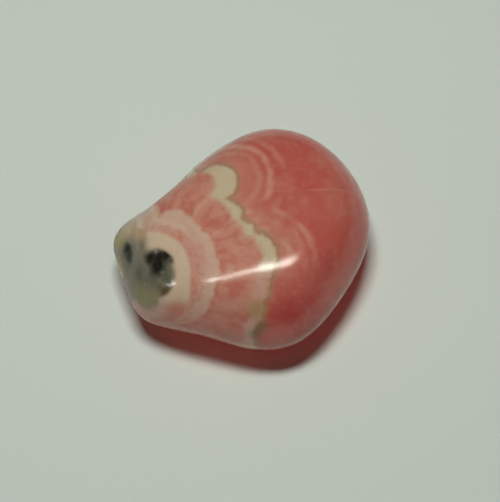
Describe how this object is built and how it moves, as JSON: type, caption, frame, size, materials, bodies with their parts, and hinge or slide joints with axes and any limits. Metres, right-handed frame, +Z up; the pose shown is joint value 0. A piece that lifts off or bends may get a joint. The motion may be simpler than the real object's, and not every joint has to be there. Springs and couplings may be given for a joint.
{
  "type": "tumbled rhodochrosite stone",
  "caption": "Small tumble-polished rhodochrosite pebble, pear-shaped in plan, with pink and cream growth bands and a blunt end of dark matrix.",
  "frame": {"origin": "on the ground under the middle of the stone's length and width, where it rests", "axes": "+X along the length towards the wide rounded end, -X to the narrow end with dark matrix, +Z up"},
  "size_m": [0.0282, 0.025, 0.0135],
  "materials": {
    "rhodochrosite": "tumble-polished"
  },
  "bodies": {
    "root": {"rhodochrosite_stone": "rhodochrosite"}
  },
  "joints": []
}
